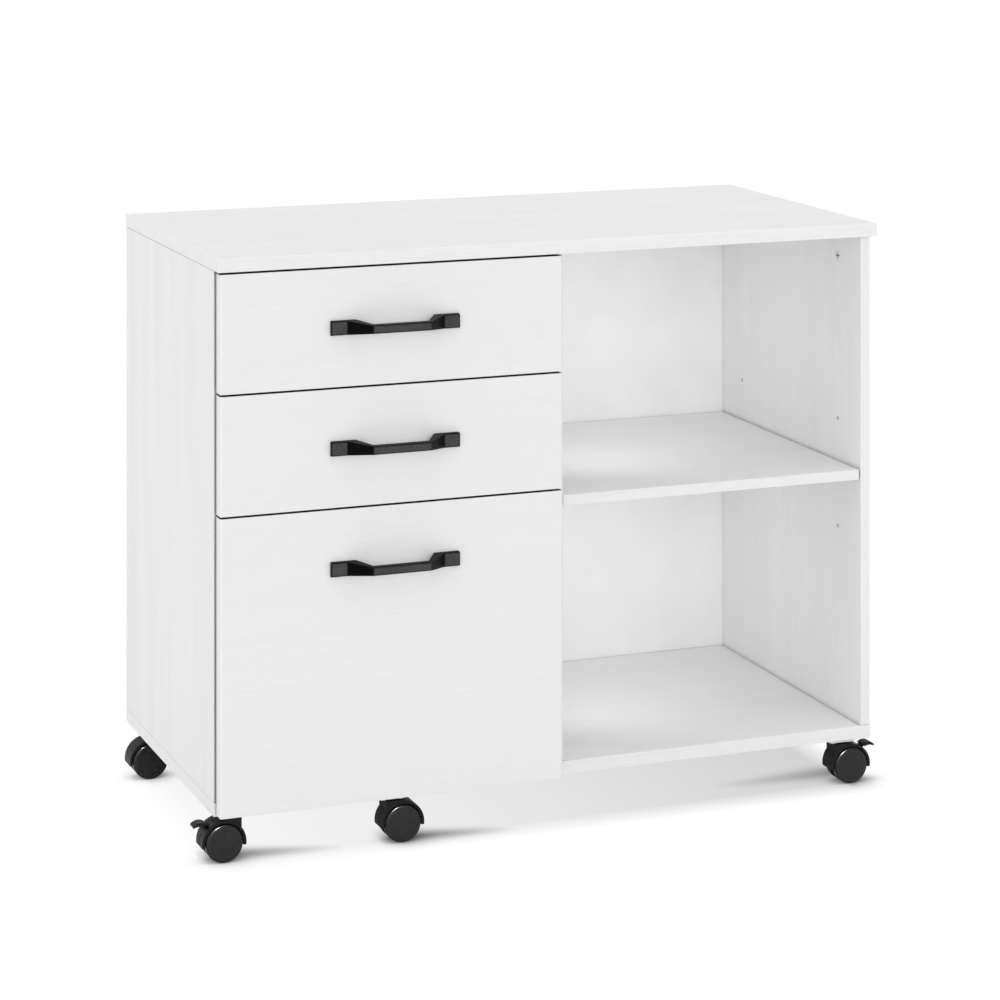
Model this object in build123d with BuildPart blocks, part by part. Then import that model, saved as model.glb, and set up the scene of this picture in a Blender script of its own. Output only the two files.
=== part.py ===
"""Rolling pedestal cabinet: two shallow drawers over a file drawer, beside an open bay with one shelf.

Frame: millimetres, +Z up, floor at Z = 0, front towards -Y. The origin is the middle of the footprint, handles
included. A fifth caster rides under the file drawer and leaves through a notch in the bottom board.
"""

import os
from math import cos, radians, sin

from build123d import *

# Overall sizes
WIDTH = 800.0
DEPTH = 400.0
BODY_HEIGHT = 607.0
CASTER_HEIGHT = 53.0

# Boards
BOARD = 15.0  # top, bottom and divider
THIN_BOARD = 12.0  # sides, shelf and drawer boxes
HARDBOARD = 3.0  # back and drawer bottoms
EDGE_ROUND = 0.6  # softened edges of the edge-banded boards
BACK_INSET = 2.0  # back panel inside the boards' outer faces
FRONT_THICKNESS = 16.0
FRONT_STANDOFF = 2.0  # from the back of a closed drawer front to the carcass
DIVIDER_RIGHT = 409.5  # divider's right face, from the cabinet's left side

# Drawer fronts
FRONT_LEFT_INSET = 2.5
FRONT_WIDTH = 399.0
SMALL_FRONT_HEIGHT = 130.0
FRONT_GAP = 2.0
FRONT_EDGE_GAP = 2.0  # under the top board and above the bottom board's underside
FRONT_CORNER_ROUND = 1.8  # upright outer edges
FRONT_EDGE_ROUND = 0.5  # top and bottom edges

# Drawer boxes and their ball-bearing slides
SLIDE_THICKNESS = 12.7
SLIDE_LENGTH = 350.0
RAIL_METAL = 1.2
SMALL_BOX_HEIGHT = 95.0
FILE_BOX_HEIGHT = 255.0
BOX_LIFT = 12.0  # small drawer box above the bottom edge of its front
BOTTOM_GROOVE_Z = 10.0  # drawer bottom above the lower edge of the box
GROOVE_DEPTH = 6.0

# Handle
HANDLE_LENGTH = 150.0
HANDLE_HEIGHT = 16.5
HANDLE_PROJECTION = 27.0
HANDLE_PAD = 18.5  # length of the flat pad at each end
HANDLE_PAD_THICKNESS = 5.0
HANDLE_BAR = 68.0  # length of the bar's front face
HANDLE_BAR_THICKNESS = 6.5
HANDLE_BAR_HEIGHT = 9.0
HANDLE_SCREW_SPACING = 128.0
HANDLE_SCREW = 4.0

# Shelf and the holes around it
SHELF_TOP = 316.0  # above the body's underside
SHELF_LEFT_GAP = 0.5
SHELF_RIGHT_GAP = 2.0
PIN_HOLE = 5.0
PIN_HOLE_DEPTH = 8.0
PIN_STEP = 64.0
PIN_INSET = 58.0
CAM = 15.0
CAM_DEPTH = 10.0
CAM_DROP = 32.0  # cam centre below the top board
CAM_BOLT = 6.0

# Nails of the back panel
NAIL = 2.0
NAIL_HEAD = 5.0
NAIL_HEAD_THICKNESS = 0.8
NAIL_LENGTH = 16.0
NAIL_STEP = 130.0

# Casters
WHEEL = 42.0
TRAIL = 13.0
WHEEL_INNER = 4.5  # from the caster's middle to the wheels' inner and outer faces
WHEEL_OUTER = 14.0
CASTER_INSET_LEFT = 26.5
CASTER_INSET_RIGHT = 35.5
CASTER_FRONT_Y = 34.5  # from the top board's front edge
CASTER_REAR_Y = 347.0
FIFTH_CASTER_X = 2.0  # right of the fronts' middle
FIFTH_CASTER_Y = 28.0
PLATE = 34.0
PLATE_THICKNESS = 2.0
PLATE_HOLE_SPACING = 20.0
SCREW = 3.5
KINGPIN = 8.0
AXLE = 5.0
HOOD_TOP = 5.0  # below the board
HOOD_BACK = 6.5  # from the swivel axis to the hood's flat end
KINGPIN_LENGTH = 11.0
KINGPIN_SOCKET = 9.0
HOOD_HALF_WIDTH = 12.5
GUARD_RADIUS = 25.0
WELL_RADIUS = 22.0
GUARD_DROP = 3.5  # the guards reach this far below the axle
GUARD_SLOT = 2.0  # slot between the guards under the brake lever
WEB_HALF = 3.5
LEVER_HUB = 3.0
LEVER_PIN = 2.4
LEVER_PIN_HALF = 6.5
LEVER_HALF_WIDTH = 6.5
LEVER_RADIUS = 23.5  # lever pivot from the axle, at 45 degrees above it on the trailing side
BLOCK_WIDTH = 90.0
BLOCK_DEPTH = 38.0
RUN = 0.1  # radial clearance of a turning joint
FREE = 0.1  # radial clearance of a fastener in its hole

# Planes worked out from the sizes above
BODY_SHIFT = (CASTER_INSET_RIGHT - CASTER_INSET_LEFT) / 2  # keeps the brake levers' tips centred on the origin
LEFT = BODY_SHIFT - WIDTH / 2
RIGHT = BODY_SHIFT + WIDTH / 2
FRONT = -(DEPTH - HANDLE_PROJECTION) / 2
REAR = FRONT + DEPTH
PANEL_FRONT = FRONT + FRONT_THICKNESS + FRONT_STANDOFF
PANEL_REAR = REAR - HARDBOARD
FRONT_BACK = FRONT + FRONT_THICKNESS
BASE = CASTER_HEIGHT
FLOOR_TOP = BASE + BOARD
CEILING = BASE + BODY_HEIGHT - BOARD
DIVIDER_X = LEFT + DIVIDER_RIGHT - BOARD / 2
DIVIDER_LEFT = LEFT + DIVIDER_RIGHT - BOARD
OPENING_LEFT = LEFT + THIN_BOARD
BOX_LEFT = OPENING_LEFT + SLIDE_THICKNESS
BOX_RIGHT = DIVIDER_LEFT - SLIDE_THICKNESS
BAY_LEFT = LEFT + DIVIDER_RIGHT
BAY_RIGHT = RIGHT - THIN_BOARD
FRONT_CENTRE_X = LEFT + FRONT_LEFT_INSET + FRONT_WIDTH / 2
SHELF_Z = BASE + SHELF_TOP
CAM_Z = CEILING - CAM_DROP
CAM_YS = (PANEL_FRONT + PIN_INSET, PANEL_REAR - PIN_INSET)
PIN_ZS = [SHELF_Z - THIN_BOARD - PIN_HOLE / 2 + k * PIN_STEP for k in (-1, 0, 1)]
AXLE_Z = WHEEL / 2
LEVER_PIVOT = (TRAIL + LEVER_RADIUS * cos(radians(45)), AXLE_Z + LEVER_RADIUS * sin(radians(45)))
UPRIGHT_XS = [LEFT + THIN_BOARD / 2, DIVIDER_X, RIGHT - THIN_BOARD / 2]
BOLT_SPOTS = [(x, y) for x in UPRIGHT_XS for y in CAM_YS]
NAIL_ZS = [FLOOR_TOP + 30 + k * NAIL_STEP for k in range(5)]
NAIL_SPOTS = [(x, z) for x in UPRIGHT_XS for z in NAIL_ZS]

# Each drawer: lowest and highest Z of its front, then lowest Z and height of its box
TOP_HIGH = CEILING - FRONT_EDGE_GAP
TOP_LOW = TOP_HIGH - SMALL_FRONT_HEIGHT
MIDDLE_HIGH = TOP_LOW - FRONT_GAP
MIDDLE_LOW = MIDDLE_HIGH - SMALL_FRONT_HEIGHT
DRAWERS = {
    "top_drawer": (TOP_LOW, TOP_HIGH, TOP_LOW + BOX_LIFT, SMALL_BOX_HEIGHT),
    "middle_drawer": (MIDDLE_LOW, MIDDLE_HIGH, MIDDLE_LOW + BOX_LIFT, SMALL_BOX_HEIGHT),
    "file_drawer": (BASE + FRONT_EDGE_GAP, MIDDLE_LOW - FRONT_GAP, FLOOR_TOP + 8.0, FILE_BOX_HEIGHT),
}

# Each caster: swivel axis X and Y, the direction its wheels trail, and whether it has a brake lever
CASTERS = {
    "front_left_caster": (LEFT + CASTER_INSET_LEFT, FRONT + CASTER_FRONT_Y, 180, True),
    "front_right_caster": (RIGHT - CASTER_INSET_RIGHT, FRONT + CASTER_FRONT_Y, 0, True),
    "rear_left_caster": (LEFT + CASTER_INSET_LEFT, FRONT + CASTER_REAR_Y, 180, False),
    "rear_right_caster": (RIGHT - CASTER_INSET_RIGHT, FRONT + CASTER_REAR_Y, 0, False),
    "fifth_caster": (FRONT_CENTRE_X + FIFTH_CASTER_X, FRONT + FIFTH_CASTER_Y, 0, False),
}
CORNER_SPOTS = [(x, y) for name, (x, y, *_) in CASTERS.items() if name != "fifth_caster"]
FIFTH_SPOT = CASTERS["fifth_caster"][:2]


def save(builder, name):
    """Labels a finished piece and writes it as its own STEP file."""
    builder.part.label = name
    export_step(builder.part, f"parts/{name}.step")


def slab(x0, x1, y0, y1, z0, z1):
    """A box between two corners, added to the part being built."""
    with Locations(((x0 + x1) / 2, (y0 + y1) / 2, (z0 + z1) / 2)):
        Box(x1 - x0, y1 - y0, z1 - z0)


def soften_edges(builder):
    """Rounds the twelve outer edges of a plain board."""
    fillet(builder.edges(), EDGE_ROUND)


def square(cx, cy, spacing):
    """The four corners of a screw square round (cx, cy)."""
    half = spacing / 2
    return [(cx + dx, cy + dy) for dx in (-half, half) for dy in (-half, half)]


# ---------------------------------------------------------------- carcass

def make_top_board():
    with BuildPart() as top:
        slab(LEFT, RIGHT, FRONT, REAR, CEILING, CEILING + BOARD)
        soften_edges(top)
        with BuildSketch(Plane.XY.offset(CEILING)):
            with Locations(*BOLT_SPOTS):
                Circle(CAM_BOLT / 2)
        extrude(amount=BOARD - 4, mode=Mode.SUBTRACT)
    save(top, "top_board")


def make_bottom_board():
    """Runs under the side panels. Its front has a notch for the fifth caster's block."""
    half = BLOCK_WIDTH / 2 + 2
    with BuildPart() as bottom:
        slab(LEFT, RIGHT, PANEL_FRONT - 1, PANEL_REAR, BASE, FLOOR_TOP)
        soften_edges(bottom)
        with Locations((FIFTH_SPOT[0], PANEL_FRONT, BASE + BOARD / 2)):
            Box(2 * half, 2 * (BLOCK_DEPTH + 2), 2 * BOARD, mode=Mode.SUBTRACT)
        with BuildSketch(Plane.XY.offset(BASE)):
            with Locations(*[spot for c in CORNER_SPOTS for spot in square(*c, PLATE_HOLE_SPACING)]):
                Circle(SCREW / 2)
        extrude(amount=11, mode=Mode.SUBTRACT)
        with BuildSketch(Plane.XY.offset(BASE)):
            with Locations(*BOLT_SPOTS):
                Circle(CAM_BOLT / 2)
        extrude(amount=BOARD, mode=Mode.SUBTRACT)
    save(bottom, "bottom_board")


def make_upright(name, x0, x1, cam_face, pin_face=None):
    """A vertical panel. Cams sit in one face; the bolts they pull on come in from its top and bottom ends."""
    middle = (x0 + x1) / 2
    into = -1 if cam_face == x1 else 1
    with BuildPart() as panel:
        slab(x0, x1, PANEL_FRONT, PANEL_REAR, FLOOR_TOP, CEILING)
        soften_edges(panel)
        with BuildSketch(Plane.YZ.offset(cam_face)):
            with Locations(*[(y, CAM_Z) for y in CAM_YS]):
                Circle(CAM / 2)
        extrude(amount=into * CAM_DEPTH, mode=Mode.SUBTRACT)
        with BuildSketch(Plane.XY.offset(CEILING)):
            with Locations(*[(middle, y) for y in CAM_YS]):
                Circle(CAM_BOLT / 2)
        extrude(amount=-CAM_DROP, mode=Mode.SUBTRACT)
        with BuildSketch(Plane.XY.offset(FLOOR_TOP)):
            with Locations(*[(middle, y) for y in CAM_YS]):
                Circle(CAM_BOLT / 2)
        extrude(amount=35, mode=Mode.SUBTRACT)
        with BuildSketch(Plane.XZ.offset(-PANEL_REAR)):
            with Locations(*[(middle, z) for z in NAIL_ZS]):
                Circle(NAIL / 2)
        extrude(amount=NAIL_LENGTH, mode=Mode.SUBTRACT)
        if pin_face is not None:
            with BuildSketch(Plane.YZ.offset(pin_face)):
                with Locations(*[(y, z) for y in CAM_YS for z in PIN_ZS]):
                    Circle(PIN_HOLE / 2)
            extrude(amount=(1 if pin_face == x0 else -1) * PIN_HOLE_DEPTH, mode=Mode.SUBTRACT)
    save(panel, name)


def make_back_panel():
    with BuildPart() as back:
        slab(LEFT + BACK_INSET, RIGHT - BACK_INSET, PANEL_REAR, REAR, BASE + BACK_INSET, CEILING)
        with BuildSketch(Plane.XZ.offset(-REAR)):
            with Locations(*NAIL_SPOTS):
                Circle(NAIL / 2)
        extrude(amount=HARDBOARD, mode=Mode.SUBTRACT)
        with BuildSketch(Plane.XZ.offset(-REAR)):
            with Locations(*NAIL_SPOTS):
                Circle(NAIL_HEAD / 2)
        extrude(amount=NAIL_HEAD_THICKNESS, mode=Mode.SUBTRACT)
    save(back, "back_panel")


def make_back_panel_nails():
    """Flat-headed nails through the back panel into the rear edges of the uprights, heads flush."""
    with BuildPart() as nails:
        with BuildSketch(Plane.XZ.offset(-REAR)):
            with Locations(*NAIL_SPOTS):
                Circle(NAIL_HEAD / 2 - FREE)
        extrude(amount=NAIL_HEAD_THICKNESS)
        with BuildSketch(Plane.XZ.offset(-REAR)):
            with Locations(*NAIL_SPOTS):
                Circle(NAIL / 2 - FREE)
        extrude(amount=NAIL_LENGTH)
    save(nails, "back_panel_nails")


def make_shelf():
    with BuildPart() as shelf:
        slab(
            BAY_LEFT + SHELF_LEFT_GAP, BAY_RIGHT - SHELF_RIGHT_GAP,
            PANEL_FRONT, PANEL_REAR - 1, SHELF_Z - THIN_BOARD, SHELF_Z,
        )
        soften_edges(shelf)
    save(shelf, "shelf")


def make_shelf_pins():
    """Four round pins, half in the panel and half under the shelf."""
    reach = 9.0
    with BuildPart() as pins:
        for face, inward in ((BAY_LEFT, 1), (BAY_RIGHT, -1)):
            with BuildSketch(Plane.YZ.offset(face - inward * (PIN_HOLE_DEPTH - 1))):
                with Locations(*[(y, PIN_ZS[1]) for y in CAM_YS]):
                    Circle(PIN_HOLE / 2)
            extrude(amount=inward * (PIN_HOLE_DEPTH - 1 + reach))
    save(pins, "shelf_pins")


def make_cam_locks():
    """Six turning cams, each with a cross recess for the screwdriver and a hole for its bolt's head."""
    faces = [(OPENING_LEFT, -1, UPRIGHT_XS[0]), (DIVIDER_LEFT, 1, UPRIGHT_XS[1]), (BAY_RIGHT, 1, UPRIGHT_XS[2])]
    depth = CAM_DEPTH - 0.5
    with BuildPart() as cams:
        for face, into, middle in faces:
            with BuildSketch(Plane.YZ.offset(face)):
                with Locations(*[(y, CAM_Z) for y in CAM_YS]):
                    Circle(CAM / 2 - 0.1)
            extrude(amount=into * depth)
            with BuildSketch(Plane.YZ.offset(face)):
                with Locations(*[(y, CAM_Z) for y in CAM_YS]):
                    Rectangle(9, 1.6)
                    Rectangle(1.6, 9)
            extrude(amount=into * 2, mode=Mode.SUBTRACT)
            with BuildSketch(Plane.XY.offset(CAM_Z)):
                with Locations(*[(middle, y) for y in CAM_YS]):
                    Circle(CAM_BOLT / 2 + 0.2)
            extrude(amount=CAM, mode=Mode.SUBTRACT)
    save(cams, "cam_locks")


def make_cam_bolts():
    """Bolts from the top board down into the cams."""
    with BuildPart() as bolts:
        with BuildSketch(Plane.XY.offset(CAM_Z + 0.5)):
            with Locations(*BOLT_SPOTS):
                Circle(CAM_BOLT / 2 - RUN)
        extrude(amount=CEILING + BOARD - 5 - CAM_Z)
    save(bolts, "cam_bolts")


def make_base_screws():
    """Screws up through the bottom board into the ends of the uprights, heads in the board's underside."""
    with BuildPart() as screws:
        with BuildSketch(Plane.XY.offset(BASE + 0.3)):
            with Locations(*BOLT_SPOTS):
                Circle(CAM_BOLT / 2 - RUN)
                RegularPolygon(1.8, 6, mode=Mode.SUBTRACT)
        extrude(amount=2.5)
        with BuildSketch(Plane.XY.offset(BASE + 2.8)):
            with Locations(*BOLT_SPOTS):
                Circle(CAM_BOLT / 2 - RUN)
        extrude(amount=BOARD + 28)
    save(screws, "base_screws")


# ---------------------------------------------------------------- drawers

def channel_outline(wall, inward, web_at, lip_at, half_height, z):
    """Closed outline (X, Z) of a slide's C-shaped rail. Distances run from the wall towards the drawer."""
    metal = RAIL_METAL if lip_at > web_at else -RAIL_METAL
    web_x = wall + inward * web_at
    inner_x = wall + inward * (web_at + metal)
    lip_x = wall + inward * lip_at
    outer, inner = half_height, half_height - RAIL_METAL
    return [
        (lip_x, z + outer), (web_x, z + outer), (web_x, z - outer), (lip_x, z - outer),
        (lip_x, z - inner), (inner_x, z - inner), (inner_x, z + inner), (lip_x, z + inner),
    ]


def slide_z(box_low, box_height):
    """Height of a drawer's slides: halfway up a small box, low on the deep one."""
    return box_low + min(box_height / 2, 70.0)


def make_rails(name, heights, web_at, lip_at, half_height):
    """A rail on each side of the drawer opening at each height, as one group."""
    with BuildPart() as rails:
        for z in heights:
            for wall, inward in ((OPENING_LEFT, 1), (DIVIDER_LEFT, -1)):
                with BuildSketch(Plane.XZ.offset(-PANEL_FRONT - 2)):
                    with BuildLine():
                        Polyline(*channel_outline(wall, inward, web_at, lip_at, half_height, z), close=True)
                    make_face()
                extrude(amount=-SLIDE_LENGTH)
    save(rails, name)


def make_drawer_front(name, low, high):
    handle_z = high - SMALL_FRONT_HEIGHT / 2
    with BuildPart() as front:
        left = LEFT + FRONT_LEFT_INSET
        slab(left, left + FRONT_WIDTH, FRONT, FRONT_BACK, low, high)
        fillet(front.edges().filter_by(Axis.Z).group_by(Axis.Y)[0], FRONT_CORNER_ROUND)
        by_height = front.faces().sort_by(Axis.Z)
        fillet(by_height[0].edges() + by_height[-1].edges(), FRONT_EDGE_ROUND)
        with BuildSketch(Plane.XZ.offset(-FRONT)):
            with Locations((FRONT_CENTRE_X, handle_z)):
                with GridLocations(HANDLE_SCREW_SPACING, 0, 2, 1):
                    Circle(HANDLE_SCREW / 2)
        extrude(amount=-FRONT_THICKNESS, mode=Mode.SUBTRACT)
    save(front, f"{name}_front")


def make_drawer_box(name, box_low, box_height):
    """Two sides, a back and a grooved-in bottom, each its own board."""
    box_rear = FRONT_BACK + SLIDE_LENGTH
    groove = (box_low + BOTTOM_GROOVE_Z, box_low + BOTTOM_GROOVE_Z + HARDBOARD)
    with BuildPart() as sides:
        for x0 in (BOX_LEFT, BOX_RIGHT - THIN_BOARD):
            slab(x0, x0 + THIN_BOARD, FRONT_BACK, box_rear, box_low, box_low + box_height)
        with Locations(((BOX_LEFT + BOX_RIGHT) / 2, (FRONT_BACK + box_rear) / 2, sum(groove) / 2)):
            Box(
                BOX_RIGHT - BOX_LEFT - 2 * (THIN_BOARD - GROOVE_DEPTH), 2 * SLIDE_LENGTH, HARDBOARD,
                mode=Mode.SUBTRACT,
            )
        top_edges = sides.edges().filter_by(Axis.Y).group_by(Axis.Z)[-1]
        fillet(top_edges, 1.5)
    save(sides, f"{name}_box_sides")

    with BuildPart() as back:
        slab(
            BOX_LEFT + THIN_BOARD, BOX_RIGHT - THIN_BOARD, box_rear - THIN_BOARD, box_rear,
            groove[1], box_low + box_height - 4,
        )
    save(back, f"{name}_box_back")

    with BuildPart() as bottom:
        edge = THIN_BOARD - GROOVE_DEPTH
        slab(BOX_LEFT + edge + 0.5, BOX_RIGHT - edge - 0.5, FRONT_BACK + 0.5, box_rear, *groove)
    save(bottom, f"{name}_bottom")


def make_handle(name, high):
    """A flat bar between two pads, on legs that slope out. It is the overlap of a plan and a side outline."""
    z = high - SMALL_FRONT_HEIGHT / 2
    end, pad_end, bar_end = HANDLE_LENGTH / 2, HANDLE_LENGTH / 2 - HANDLE_PAD, HANDLE_BAR / 2
    bar_back = HANDLE_PROJECTION - HANDLE_BAR_THICKNESS
    right_half = [
        (bar_end - 2, -bar_back), (pad_end - 11, 0), (end, 0),
        (end, -HANDLE_PAD_THICKNESS), (pad_end, -HANDLE_PAD_THICKNESS), (bar_end, -HANDLE_PROJECTION),
    ]
    plan = right_half + [(-x, y) for x, y in reversed(right_half)]
    upper_half = [(0, HANDLE_HEIGHT / 2), (-HANDLE_PROJECTION, HANDLE_BAR_HEIGHT / 2)]
    side = upper_half + [(y, -h) for y, h in reversed(upper_half)]
    with BuildPart() as handle:
        with BuildSketch(Plane.XY.offset(z)):
            with BuildLine():
                Polyline(*[(FRONT_CENTRE_X + x, FRONT + y) for x, y in plan], close=True)
            make_face()
        extrude(amount=HANDLE_HEIGHT, both=True)
        with BuildSketch(Plane.YZ.offset(FRONT_CENTRE_X)):
            with BuildLine():
                Polyline(*[(FRONT + y, z + h) for y, h in side], close=True)
            make_face()
        extrude(amount=HANDLE_LENGTH, both=True, mode=Mode.INTERSECT)
        chamfer([e for e in handle.edges() if e.center().Y < FRONT - 0.1], 0.5)
        with BuildSketch(Plane.XZ.offset(-FRONT)):
            with Locations((FRONT_CENTRE_X, z)):
                with GridLocations(HANDLE_SCREW_SPACING, 0, 2, 1):
                    Circle(HANDLE_SCREW / 2)
        extrude(amount=3.6, mode=Mode.SUBTRACT)
    save(handle, f"{name}_handle")


def make_handle_screws(name, high):
    """Pan-head machine screws from inside the drawer front into the handle."""
    z = high - SMALL_FRONT_HEIGHT / 2
    spots = [(FRONT_CENTRE_X - HANDLE_SCREW_SPACING / 2, z), (FRONT_CENTRE_X + HANDLE_SCREW_SPACING / 2, z)]
    with BuildPart() as screws:
        with BuildSketch(Plane.XZ.offset(-FRONT + 3)):
            with Locations(*spots):
                Circle(HANDLE_SCREW / 2 - RUN)
        extrude(amount=-FRONT_THICKNESS - 3)
        with BuildSketch(Plane.XZ.offset(-FRONT_BACK)):
            with Locations(*spots):
                Circle(HANDLE_SCREW)
        extrude(amount=-2.6)
        with BuildSketch(Plane.XZ.offset(-FRONT_BACK - 2.6)):
            with Locations(*spots):
                Rectangle(4.6, 1)
                Rectangle(1, 4.6)
        extrude(amount=1.2, mode=Mode.SUBTRACT)
    save(screws, f"{name}_handle_screws")


def make_file_rails(box_low, box_height):
    """Two upright strips that hanging folders hook over, clipped on the box sides."""
    top = box_low + box_height
    with BuildPart() as rails:
        for x0 in (BOX_LEFT + THIN_BOARD, BOX_RIGHT - THIN_BOARD - 2.5):
            slab(x0, x0 + 2.5, FRONT_BACK + 6, FRONT_BACK + SLIDE_LENGTH - THIN_BOARD - 4, top - 24, top + 14)
    save(rails, "file_drawer_folder_rails")


def make_caster_block(box_low):
    """Block behind the file drawer's front that the fifth caster is screwed to."""
    x, y = FIFTH_SPOT
    with BuildPart() as block:
        slab(x - BLOCK_WIDTH / 2, x + BLOCK_WIDTH / 2, FRONT_BACK, PANEL_FRONT + BLOCK_DEPTH - 2, BASE, box_low)
        with BuildSketch(Plane.XY.offset(BASE)):
            with Locations(*[spot for spot in square(x, y, PLATE_HOLE_SPACING) if spot[1] > FRONT_BACK]):
                Circle(SCREW / 2)
        extrude(amount=11, mode=Mode.SUBTRACT)
    save(block, "fifth_caster_block")


# ---------------------------------------------------------------- casters

def make_caster_plates(name, spots):
    """Steel top plates, each with its bearing race and riveted kingpin."""
    with BuildPart() as plates:
        for x, y in spots:
            with BuildSketch(Plane.XY.offset(BASE)):
                with Locations((x, y)):
                    RectangleRounded(PLATE, PLATE, 4)
                with Locations(*square(x, y, PLATE_HOLE_SPACING)):
                    Circle(SCREW / 2 + 0.4, mode=Mode.SUBTRACT)
            extrude(amount=-PLATE_THICKNESS)
            with BuildSketch(Plane.XY.offset(BASE - PLATE_THICKNESS)):
                with Locations((x, y)):
                    Circle(8)
            extrude(amount=-(HOOD_TOP - PLATE_THICKNESS - 0.4))
            with BuildSketch(Plane.XY.offset(BASE - PLATE_THICKNESS)):
                with Locations((x, y)):
                    Circle(KINGPIN / 2)
            extrude(amount=-KINGPIN_LENGTH)
    save(plates, name)


def make_caster_screws(name, spots):
    """Pan-head wood screws through the plates."""
    with BuildPart() as screws:
        head_z = BASE - PLATE_THICKNESS
        with BuildSketch(Plane.XY.offset(head_z - 1.6)):
            with Locations(*spots):
                Circle(SCREW)
        extrude(amount=1.6)
        with BuildSketch(Plane.XY.offset(head_z)):
            with Locations(*spots):
                Circle(SCREW / 2 - 0.05)
        extrude(amount=PLATE_THICKNESS + 10)
    save(screws, name)


def caster_frame(x, y, heading):
    """Upright plane through the caster's middle: its X runs the way the wheels trail, its Y is up."""
    along = (cos(radians(heading)), sin(radians(heading)), 0)
    return Plane(origin=(x, y, 0), x_dir=along, z_dir=(along[1], -along[0], 0))


def make_hood(name, x, y, heading, braked):
    """Moulded body: a central web, guards over both wheels, and the housing of the kingpin."""
    side = caster_frame(x, y, heading)
    top = BASE - HOOD_TOP
    with BuildPart() as hood:
        with BuildSketch(side):
            with Locations((TRAIL, AXLE_Z)):
                Circle(GUARD_RADIUS)
            with Locations((TRAIL, AXLE_Z - GUARD_DROP)):
                Rectangle(3 * GUARD_RADIUS, 2 * GUARD_RADIUS, align=(Align.CENTER, Align.MAX), mode=Mode.SUBTRACT)
            with Locations((-HOOD_BACK, AXLE_Z)):
                Rectangle(HOOD_BACK + TRAIL, top - AXLE_Z, align=(Align.MIN, Align.MIN))
        extrude(amount=HOOD_HALF_WIDTH, both=True)
        fillet(hood.faces().sort_by(Axis.Z)[-1].edges(), 1.2)
        for face in (-1, 1):
            with BuildSketch(side.offset(face * WEB_HALF)):
                with Locations((TRAIL, AXLE_Z)):
                    Circle(WELL_RADIUS)
            extrude(amount=face * HOOD_HALF_WIDTH, mode=Mode.SUBTRACT)
        with BuildSketch(side):
            with Locations((TRAIL, AXLE_Z)):
                Circle(AXLE / 2 + RUN)
        extrude(amount=WEB_HALF, both=True, mode=Mode.SUBTRACT)
        with BuildSketch(Plane.XY.offset(top)):
            with Locations((x, y)):
                Circle(KINGPIN / 2 + RUN)
        extrude(amount=-KINGPIN_SOCKET, mode=Mode.SUBTRACT)
        if braked:
            with BuildSketch(side):
                with Locations(LEVER_PIVOT):
                    Rectangle(2 * LEVER_HUB, 4 * LEVER_HUB, align=(Align.MIN, Align.MIN))
                    Circle(LEVER_HUB + 0.6)
            extrude(amount=WEB_HALF + 0.6, both=True, mode=Mode.SUBTRACT)
            with BuildSketch(side):
                with Locations(LEVER_PIVOT):
                    Circle(LEVER_PIN / 2 + RUN)
            extrude(amount=LEVER_PIN_HALF + 0.4, both=True, mode=Mode.SUBTRACT)
            with BuildSketch(side):
                with Locations((TRAIL + WELL_RADIUS + 0.8, AXLE_Z - GUARD_RADIUS)):
                    Rectangle(GUARD_RADIUS, 2 * GUARD_RADIUS, align=(Align.MIN, Align.MIN))
            extrude(amount=GUARD_SLOT / 2, both=True, mode=Mode.SUBTRACT)
    save(hood, f"{name}_hood")


def make_axle(name, x, y, heading):
    with BuildPart() as axle:
        with BuildSketch(caster_frame(x, y, heading)):
            with Locations((TRAIL, AXLE_Z)):
                Circle(AXLE / 2)
        extrude(amount=WHEEL_OUTER - 3, both=True)
    save(axle, f"{name}_axle")


def make_wheels(name, x, y, heading):
    """Two moulded wheels on one axle, with a rounded rim, a shallow dished face and a blind hub."""
    side = caster_frame(x, y, heading)
    with BuildPart() as wheels:
        for face in (-1, 1):
            with BuildSketch(side.offset(face * WHEEL_INNER)):
                with Locations((TRAIL, AXLE_Z)):
                    Circle(WHEEL / 2)
            extrude(amount=face * (WHEEL_OUTER - WHEEL_INNER))
        rims = wheels.edges().filter_by(GeomType.CIRCLE)
        outer_rims = [e for e in rims if abs(side.to_local_coords(e.center()).Z) > WHEEL_OUTER - 1]
        inner_rims = [e for e in rims if abs(side.to_local_coords(e.center()).Z) < WHEEL_INNER + 1]
        fillet(outer_rims, 2.6)
        fillet(inner_rims, 1.2)
        for face in (-1, 1):
            with BuildSketch(side.offset(face * WHEEL_OUTER)):
                with Locations((TRAIL, AXLE_Z)):
                    Circle(WHEEL / 2 - 3.6)
            extrude(amount=-face * 0.5, taper=30, mode=Mode.SUBTRACT)
            with BuildSketch(side.offset(face * WHEEL_INNER)):
                with Locations((TRAIL, AXLE_Z)):
                    Circle(AXLE / 2)
            extrude(amount=face * (WHEEL_OUTER - WHEEL_INNER - 2.6), mode=Mode.SUBTRACT)
    save(wheels, f"{name}_wheels")


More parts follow.
